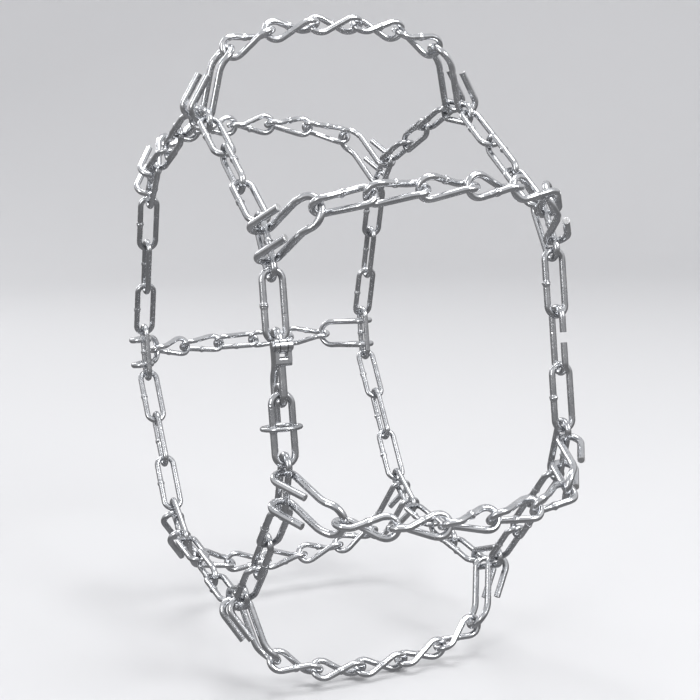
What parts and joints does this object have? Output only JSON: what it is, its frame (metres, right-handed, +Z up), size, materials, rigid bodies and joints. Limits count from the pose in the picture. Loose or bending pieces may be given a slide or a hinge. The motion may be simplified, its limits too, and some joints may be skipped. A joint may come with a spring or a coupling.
{
  "type": "tire snow chains",
  "caption": "Ladder-type snow chain for a small turf tyre, in its fitted shape: two side chains, twisted-link cross chains on double hooks, and a lever fastener.",
  "frame": {"origin": "centre of the wheel, on its axle and midway between the two side chains", "axes": "+Y along the axle to the inner side, -Y to the outer side with the fastener, +X to the front of the tread, +Z up"},
  "size_m": [0.4197, 0.1982, 0.4191],
  "materials": {
    "side_link_steel": "bright zinc plate, lightly dulled",
    "cross_link_steel": "bright zinc plate with polished high spots",
    "hook_steel": "bright zinc plate, grey cut ends",
    "fastener_steel": "zinc plate, slightly duller"
  },
  "bodies": {
    "root": {"outer_flat_links": "side_link_steel", "outer_standing_links": "side_link_steel", "inner_flat_links": "side_link_steel", "inner_standing_links": "side_link_steel", "fastener_shank": "fastener_steel", "fastener_pin": "fastener_steel", "inner_end_hook": "hook_steel"},
    "cross_1_outer_hook": {"cross_1_outer_hook": "hook_steel"},
    "cross_1_link_1": {"cross_1_link_1": "cross_link_steel"},
    "cross_1_link_2": {"cross_1_link_2": "cross_link_steel"},
    "cross_1_link_3": {"cross_1_link_3": "cross_link_steel"},
    "cross_1_link_4": {"cross_1_link_4": "cross_link_steel"},
    "cross_1_link_5": {"cross_1_link_5": "cross_link_steel"},
    "cross_1_inner_hook": {"cross_1_inner_hook": "hook_steel"},
    "cross_2_outer_hook": {"cross_2_outer_hook": "hook_steel"},
    "cross_2_link_1": {"cross_2_link_1": "cross_link_steel"},
    "cross_2_link_2": {"cross_2_link_2": "cross_link_steel"},
    "cross_2_link_3": {"cross_2_link_3": "cross_link_steel"},
    "cross_2_link_4": {"cross_2_link_4": "cross_link_steel"},
    "cross_2_link_5": {"cross_2_link_5": "cross_link_steel"},
    "cross_2_inner_hook": {"cross_2_inner_hook": "hook_steel"},
    "cross_3_outer_hook": {"cross_3_outer_hook": "hook_steel"},
    "cross_3_link_1": {"cross_3_link_1": "cross_link_steel"},
    "cross_3_link_2": {"cross_3_link_2": "cross_link_steel"},
    "cross_3_link_3": {"cross_3_link_3": "cross_link_steel"},
    "cross_3_link_4": {"cross_3_link_4": "cross_link_steel"},
    "cross_3_link_5": {"cross_3_link_5": "cross_link_steel"},
    "cross_3_inner_hook": {"cross_3_inner_hook": "hook_steel"},
    "cross_4_outer_hook": {"cross_4_outer_hook": "hook_steel"},
    "cross_4_link_1": {"cross_4_link_1": "cross_link_steel"},
    "cross_4_link_2": {"cross_4_link_2": "cross_link_steel"},
    "cross_4_link_3": {"cross_4_link_3": "cross_link_steel"},
    "cross_4_link_4": {"cross_4_link_4": "cross_link_steel"},
    "cross_4_link_5": {"cross_4_link_5": "cross_link_steel"},
    "cross_4_inner_hook": {"cross_4_inner_hook": "hook_steel"},
    "cross_5_outer_hook": {"cross_5_outer_hook": "hook_steel"},
    "cross_5_link_1": {"cross_5_link_1": "cross_link_steel"},
    "cross_5_link_2": {"cross_5_link_2": "cross_link_steel"},
    "cross_5_link_3": {"cross_5_link_3": "cross_link_steel"},
    "cross_5_link_4": {"cross_5_link_4": "cross_link_steel"},
    "cross_5_link_5": {"cross_5_link_5": "cross_link_steel"},
    "cross_5_inner_hook": {"cross_5_inner_hook": "hook_steel"},
    "cross_6_outer_hook": {"cross_6_outer_hook": "hook_steel"},
    "cross_6_link_1": {"cross_6_link_1": "cross_link_steel"},
    "cross_6_link_2": {"cross_6_link_2": "cross_link_steel"},
    "cross_6_link_3": {"cross_6_link_3": "cross_link_steel"},
    "cross_6_link_4": {"cross_6_link_4": "cross_link_steel"},
    "cross_6_link_5": {"cross_6_link_5": "cross_link_steel"},
    "cross_6_inner_hook": {"cross_6_inner_hook": "hook_steel"},
    "cross_7_outer_hook": {"cross_7_outer_hook": "hook_steel"},
    "cross_7_link_1": {"cross_7_link_1": "cross_link_steel"},
    "cross_7_link_2": {"cross_7_link_2": "cross_link_steel"},
    "cross_7_link_3": {"cross_7_link_3": "cross_link_steel"},
    "cross_7_link_4": {"cross_7_link_4": "cross_link_steel"},
    "cross_7_link_5": {"cross_7_link_5": "cross_link_steel"},
    "cross_7_inner_hook": {"cross_7_inner_hook": "hook_steel"},
    "fastener_lever": {"fastener_lever": "fastener_steel"},
    "fastener_keeper": {"fastener_keeper": "fastener_steel"}
  },
  "joints": [
    {"name": "cross_1_lift", "type": "hinge", "parent": "root", "child": "cross_1_outer_hook", "pos_m": [0.01659, -0.088, 0.15782], "axis": [-0.9945, 0, 0.1045], "range_deg": [0, 8]},
    {"name": "cross_1_link_1_bend", "type": "hinge", "parent": "cross_1_outer_hook", "child": "cross_1_link_1", "pos_m": [0.02027, -0.07083, 0.19288], "axis": [-0.9945, 0, 0.1045], "range_deg": [-23.7, 0.5]},
    {"name": "cross_1_link_2_bend", "type": "hinge", "parent": "cross_1_link_1", "child": "cross_1_link_2", "pos_m": [0.02142, -0.04366, 0.2038], "axis": [-0.9945, 0, 0.1045], "range_deg": [-0.5, 8.5]},
    {"name": "cross_1_link_3_bend", "type": "hinge", "parent": "cross_1_link_2", "child": "cross_1_link_3", "pos_m": [0.02185, -0.01465, 0.20786], "axis": [-0.9945, 0, 0.1045], "range_deg": [-0.5, 7.7]},
    {"name": "cross_1_inner_hook_swing", "type": "hinge", "parent": "root", "child": "cross_1_inner_hook", "pos_m": [0.01659, 0.088, 0.15782], "axis": [0.9945, 0, -0.1045], "range_deg": [-0.5, 8.5]},
    {"name": "cross_1_link_5_bend", "type": "hinge", "parent": "cross_1_inner_hook", "child": "cross_1_link_5", "pos_m": [0.02027, 0.07083, 0.19288], "axis": [0.9945, 0, -0.1045], "range_deg": [-23.7, 0.5]},
    {"name": "cross_1_link_4_bend", "type": "hinge", "parent": "cross_1_link_5", "child": "cross_1_link_4", "pos_m": [0.02142, 0.04366, 0.2038], "axis": [0.9945, 0, -0.1045], "range_deg": [-0.5, 8.5]},
    {"name": "cross_2_lift", "type": "hinge", "parent": "root", "child": "cross_2_outer_hook", "pos_m": [0.13373, -0.088, 0.08543], "axis": [-0.5384, 0, 0.8427], "range_deg": [0, 8]},
    {"name": "cross_2_link_1_bend", "type": "hinge", "parent": "cross_2_outer_hook", "child": "cross_2_link_1", "pos_m": [0.16344, -0.07083, 0.10441], "axis": [-0.5384, 0, 0.8427], "range_deg": [-23.7, 0.5]},
    {"name": "cross_2_link_2_bend", "type": "hinge", "parent": "cross_2_link_1", "child": "cross_2_link_2", "pos_m": [0.17269, -0.04366, 0.11032], "axis": [-0.5384, 0, 0.8427], "range_deg": [-0.5, 8.5]},
    {"name": "cross_2_link_3_bend", "type": "hinge", "parent": "cross_2_link_2", "child": "cross_2_link_3", "pos_m": [0.17613, -0.01465, 0.11252], "axis": [-0.5384, 0, 0.8427], "range_deg": [-0.5, 7.7]},
    {"name": "cross_2_inner_hook_swing", "type": "hinge", "parent": "root", "child": "cross_2_inner_hook", "pos_m": [0.13373, 0.088, 0.08543], "axis": [0.5384, 0, -0.8427], "range_deg": [-0.5, 8.5]},
    {"name": "cross_2_link_5_bend", "type": "hinge", "parent": "cross_2_inner_hook", "child": "cross_2_link_5", "pos_m": [0.16344, 0.07083, 0.10441], "axis": [0.5384, 0, -0.8427], "range_deg": [-23.7, 0.5]},
    {"name": "cross_2_link_4_bend", "type": "hinge", "parent": "cross_2_link_5", "child": "cross_2_link_4", "pos_m": [0.17269, 0.04366, 0.11032], "axis": [0.5384, 0, -0.8427], "range_deg": [-0.5, 8.5]},
    {"name": "cross_3_lift", "type": "hinge", "parent": "root", "child": "cross_3_outer_hook", "pos_m": [0.15018, -0.088, -0.05129], "axis": [0.3232, 0, 0.9463], "range_deg": [0, 8]},
    {"name": "cross_3_link_1_bend", "type": "hinge", "parent": "cross_3_outer_hook", "child": "cross_3_link_1", "pos_m": [0.18354, -0.07083, -0.06269], "axis": [0.3232, 0, 0.9463], "range_deg": [-23.7, 0.5]},
    {"name": "cross_3_link_2_bend", "type": "hinge", "parent": "cross_3_link_1", "child": "cross_3_link_2", "pos_m": [0.19392, -0.04366, -0.06623], "axis": [0.3232, 0, 0.9463], "range_deg": [-0.5, 8.5]},
    {"name": "cross_3_link_3_bend", "type": "hinge", "parent": "cross_3_link_2", "child": "cross_3_link_3", "pos_m": [0.19778, -0.01465, -0.06755], "axis": [0.3232, 0, 0.9463], "range_deg": [-0.5, 7.7]},
    {"name": "cross_3_inner_hook_swing", "type": "hinge", "parent": "root", "child": "cross_3_inner_hook", "pos_m": [0.15018, 0.088, -0.05129], "axis": [-0.3232, 0, -0.9463], "range_deg": [-0.5, 8.5]},
    {"name": "cross_3_link_5_bend", "type": "hinge", "parent": "cross_3_inner_hook", "child": "cross_3_link_5", "pos_m": [0.18354, 0.07083, -0.06269], "axis": [-0.3232, 0, -0.9463], "range_deg": [-23.7, 0.5]},
    {"name": "cross_3_link_4_bend", "type": "hinge", "parent": "cross_3_link_5", "child": "cross_3_link_4", "pos_m": [0.19392, 0.04366, -0.06623], "axis": [-0.3232, 0, -0.9463], "range_deg": [-0.5, 8.5]},
    {"name": "cross_4_lift", "type": "hinge", "parent": "root", "child": "cross_4_outer_hook", "pos_m": [0.05353, -0.088, -0.14939], "axis": [0.9414, 0, 0.3373], "range_deg": [0, 8]},
    {"name": "cross_4_link_1_bend", "type": "hinge", "parent": "cross_4_outer_hook", "child": "cross_4_link_1", "pos_m": [0.06542, -0.07083, -0.18258], "axis": [0.9414, 0, 0.3373], "range_deg": [-23.7, 0.5]},
    {"name": "cross_4_link_2_bend", "type": "hinge", "parent": "cross_4_link_1", "child": "cross_4_link_2", "pos_m": [0.06913, -0.04366, -0.19291], "axis": [0.9414, 0, 0.3373], "range_deg": [-0.5, 8.5]},
    {"name": "cross_4_link_3_bend", "type": "hinge", "parent": "cross_4_link_2", "child": "cross_4_link_3", "pos_m": [0.0705, -0.01465, -0.19675], "axis": [0.9414, 0, 0.3373], "range_deg": [-0.5, 7.7]},
    {"name": "cross_4_inner_hook_swing", "type": "hinge", "parent": "root", "child": "cross_4_inner_hook", "pos_m": [0.05353, 0.088, -0.14939], "axis": [-0.9414, 0, -0.3373], "range_deg": [-0.5, 8.5]},
    {"name": "cross_4_link_5_bend", "type": "hinge", "parent": "cross_4_inner_hook", "child": "cross_4_link_5", "pos_m": [0.06542, 0.07083, -0.18258], "axis": [-0.9414, 0, -0.3373], "range_deg": [-23.7, 0.5]},
    {"name": "cross_4_link_4_bend", "type": "hinge", "parent": "cross_4_link_5", "child": "cross_4_link_4", "pos_m": [0.06913, 0.04366, -0.19291], "axis": [-0.9414, 0, -0.3373], "range_deg": [-0.5, 8.5]},
    {"name": "cross_5_lift", "type": "hinge", "parent": "root", "child": "cross_5_outer_hook", "pos_m": [-0.08342, -0.088, -0.135], "axis": [0.8507, 0, -0.5257], "range_deg": [0, 8]},
    {"name": "cross_5_link_1_bend", "type": "hinge", "parent": "cross_5_outer_hook", "child": "cross_5_link_1", "pos_m": [-0.10195, -0.07083, -0.16499], "axis": [0.8507, 0, -0.5257], "range_deg": [-23.7, 0.5]},
    {"name": "cross_5_link_2_bend", "type": "hinge", "parent": "cross_5_link_1", "child": "cross_5_link_2", "pos_m": [-0.10772, -0.04366, -0.17432], "axis": [0.8507, 0, -0.5257], "range_deg": [-0.5, 8.5]},
    {"name": "cross_5_link_3_bend", "type": "hinge", "parent": "cross_5_link_2", "child": "cross_5_link_3", "pos_m": [-0.10987, -0.01465, -0.17779], "axis": [0.8507, 0, -0.5257], "range_deg": [-0.5, 7.7]},
    {"name": "cross_5_inner_hook_swing", "type": "hinge", "parent": "root", "child": "cross_5_inner_hook", "pos_m": [-0.08342, 0.088, -0.135], "axis": [-0.8507, 0, 0.5257], "range_deg": [-0.5, 8.5]},
    {"name": "cross_5_link_5_bend", "type": "hinge", "parent": "cross_5_inner_hook", "child": "cross_5_link_5", "pos_m": [-0.10195, 0.07083, -0.16499], "axis": [-0.8507, 0, 0.5257], "range_deg": [-23.7, 0.5]},
    {"name": "cross_5_link_4_bend", "type": "hinge", "parent": "cross_5_link_5", "child": "cross_5_link_4", "pos_m": [-0.10772, 0.04366, -0.17432], "axis": [-0.8507, 0, 0.5257], "range_deg": [-0.5, 8.5]},
    {"name": "cross_6_lift", "type": "hinge", "parent": "root", "child": "cross_6_outer_hook", "pos_m": [-0.15756, -0.088, -0.01895], "axis": [0.1194, 0, -0.9928], "range_deg": [0, 8]},
    {"name": "cross_6_link_1_bend", "type": "hinge", "parent": "cross_6_outer_hook", "child": "cross_6_link_1", "pos_m": [-0.19256, -0.07083, -0.02316], "axis": [0.1194, 0, -0.9928], "range_deg": [-23.7, 0.5]},
    {"name": "cross_6_link_2_bend", "type": "hinge", "parent": "cross_6_link_1", "child": "cross_6_link_2", "pos_m": [-0.20346, -0.04366, -0.02447], "axis": [0.1194, 0, -0.9928], "range_deg": [-0.5, 8.5]},
    {"name": "cross_6_link_3_bend", "type": "hinge", "parent": "cross_6_link_2", "child": "cross_6_link_3", "pos_m": [-0.2075, -0.01465, -0.02495], "axis": [0.1194, 0, -0.9928], "range_deg": [-0.5, 7.7]},
    {"name": "cross_6_inner_hook_swing", "type": "hinge", "parent": "root", "child": "cross_6_inner_hook", "pos_m": [-0.15756, 0.088, -0.01895], "axis": [-0.1194, 0, 0.9928], "range_deg": [-0.5, 8.5]},
    {"name": "cross_6_link_5_bend", "type": "hinge", "parent": "cross_6_inner_hook", "child": "cross_6_link_5", "pos_m": [-0.19256, 0.07083, -0.02316], "axis": [-0.1194, 0, 0.9928], "range_deg": [-23.7, 0.5]},
    {"name": "cross_6_link_4_bend", "type": "hinge", "parent": "cross_6_link_5", "child": "cross_6_link_4", "pos_m": [-0.20346, 0.04366, -0.02447], "axis": [-0.1194, 0, 0.9928], "range_deg": [-0.5, 8.5]},
    {"name": "cross_7_lift", "type": "hinge", "parent": "root", "child": "cross_7_outer_hook", "pos_m": [-0.11305, -0.088, 0.11137], "axis": [-0.7018, 0, -0.7124], "range_deg": [0, 8]},
    {"name": "cross_7_link_1_bend", "type": "hinge", "parent": "cross_7_outer_hook", "child": "cross_7_link_1", "pos_m": [-0.13816, -0.07083, 0.13611], "axis": [-0.7018, 0, -0.7124], "range_deg": [-23.7, 0.5]},
    {"name": "cross_7_link_2_bend", "type": "hinge", "parent": "cross_7_link_1", "child": "cross_7_link_2", "pos_m": [-0.14598, -0.04366, 0.14381], "axis": [-0.7018, 0, -0.7124], "range_deg": [-0.5, 8.5]},
    {"name": "cross_7_link_3_bend", "type": "hinge", "parent": "cross_7_link_2", "child": "cross_7_link_3", "pos_m": [-0.14889, -0.01465, 0.14668], "axis": [-0.7018, 0, -0.7124], "range_deg": [-0.5, 7.7]},
    {"name": "cross_7_inner_hook_swing", "type": "hinge", "parent": "root", "child": "cross_7_inner_hook", "pos_m": [-0.11305, 0.088, 0.11137], "axis": [0.7018, 0, 0.7124], "range_deg": [-0.5, 8.5]},
    {"name": "cross_7_link_5_bend", "type": "hinge", "parent": "cross_7_inner_hook", "child": "cross_7_link_5", "pos_m": [-0.13816, 0.07083, 0.13611], "axis": [0.7018, 0, 0.7124], "range_deg": [-23.7, 0.5]},
    {"name": "cross_7_link_4_bend", "type": "hinge", "parent": "cross_7_link_5", "child": "cross_7_link_4", "pos_m": [-0.14598, 0.04366, 0.14381], "axis": [0.7018, 0, 0.7124], "range_deg": [-0.5, 8.5]},
    {"name": "fastener_lever_swing", "type": "hinge", "parent": "root", "child": "fastener_lever", "pos_m": [0.15006, -0.088, 0.03013], "axis": [0, 1, 0], "range_deg": [0, 100]},
    {"name": "fastener_keeper_slide", "type": "slide", "parent": "root", "child": "fastener_keeper", "axis": [-0.1194, 0, 0.9928], "range_m": [0, 0.005]}
  ],
  "couplings": [
    {"joint": "cross_1_link_1_bend", "follows": "cross_1_lift", "ratio": -2.9},
    {"joint": "cross_1_link_2_bend", "follows": "cross_1_lift", "ratio": 1},
    {"joint": "cross_1_link_3_bend", "follows": "cross_1_lift", "ratio": 0.9},
    {"joint": "cross_1_inner_hook_swing", "follows": "cross_1_lift", "ratio": 1},
    {"joint": "cross_1_link_5_bend", "follows": "cross_1_lift", "ratio": -2.9},
    {"joint": "cross_1_link_4_bend", "follows": "cross_1_lift", "ratio": 1},
    {"joint": "cross_2_link_1_bend", "follows": "cross_2_lift", "ratio": -2.9},
    {"joint": "cross_2_link_2_bend", "follows": "cross_2_lift", "ratio": 1},
    {"joint": "cross_2_link_3_bend", "follows": "cross_2_lift", "ratio": 0.9},
    {"joint": "cross_2_inner_hook_swing", "follows": "cross_2_lift", "ratio": 1},
    {"joint": "cross_2_link_5_bend", "follows": "cross_2_lift", "ratio": -2.9},
    {"joint": "cross_2_link_4_bend", "follows": "cross_2_lift", "ratio": 1},
    {"joint": "cross_3_link_1_bend", "follows": "cross_3_lift", "ratio": -2.9},
    {"joint": "cross_3_link_2_bend", "follows": "cross_3_lift", "ratio": 1},
    {"joint": "cross_3_link_3_bend", "follows": "cross_3_lift", "ratio": 0.9},
    {"joint": "cross_3_inner_hook_swing", "follows": "cross_3_lift", "ratio": 1},
    {"joint": "cross_3_link_5_bend", "follows": "cross_3_lift", "ratio": -2.9},
    {"joint": "cross_3_link_4_bend", "follows": "cross_3_lift", "ratio": 1},
    {"joint": "cross_4_link_1_bend", "follows": "cross_4_lift", "ratio": -2.9},
    {"joint": "cross_4_link_2_bend", "follows": "cross_4_lift", "ratio": 1},
    {"joint": "cross_4_link_3_bend", "follows": "cross_4_lift", "ratio": 0.9},
    {"joint": "cross_4_inner_hook_swing", "follows": "cross_4_lift", "ratio": 1},
    {"joint": "cross_4_link_5_bend", "follows": "cross_4_lift", "ratio": -2.9},
    {"joint": "cross_4_link_4_bend", "follows": "cross_4_lift", "ratio": 1},
    {"joint": "cross_5_link_1_bend", "follows": "cross_5_lift", "ratio": -2.9},
    {"joint": "cross_5_link_2_bend", "follows": "cross_5_lift", "ratio": 1},
    {"joint": "cross_5_link_3_bend", "follows": "cross_5_lift", "ratio": 0.9},
    {"joint": "cross_5_inner_hook_swing", "follows": "cross_5_lift", "ratio": 1},
    {"joint": "cross_5_link_5_bend", "follows": "cross_5_lift", "ratio": -2.9},
    {"joint": "cross_5_link_4_bend", "follows": "cross_5_lift", "ratio": 1},
    {"joint": "cross_6_link_1_bend", "follows": "cross_6_lift", "ratio": -2.9},
    {"joint": "cross_6_link_2_bend", "follows": "cross_6_lift", "ratio": 1},
    {"joint": "cross_6_link_3_bend", "follows": "cross_6_lift", "ratio": 0.9},
    {"joint": "cross_6_inner_hook_swing", "follows": "cross_6_lift", "ratio": 1},
    {"joint": "cross_6_link_5_bend", "follows": "cross_6_lift", "ratio": -2.9},
    {"joint": "cross_6_link_4_bend", "follows": "cross_6_lift", "ratio": 1},
    {"joint": "cross_7_link_1_bend", "follows": "cross_7_lift", "ratio": -2.9},
    {"joint": "cross_7_link_2_bend", "follows": "cross_7_lift", "ratio": 1},
    {"joint": "cross_7_link_3_bend", "follows": "cross_7_lift", "ratio": 0.9},
    {"joint": "cross_7_inner_hook_swing", "follows": "cross_7_lift", "ratio": 1},
    {"joint": "cross_7_link_5_bend", "follows": "cross_7_lift", "ratio": -2.9},
    {"joint": "cross_7_link_4_bend", "follows": "cross_7_lift", "ratio": 1}
  ]
}
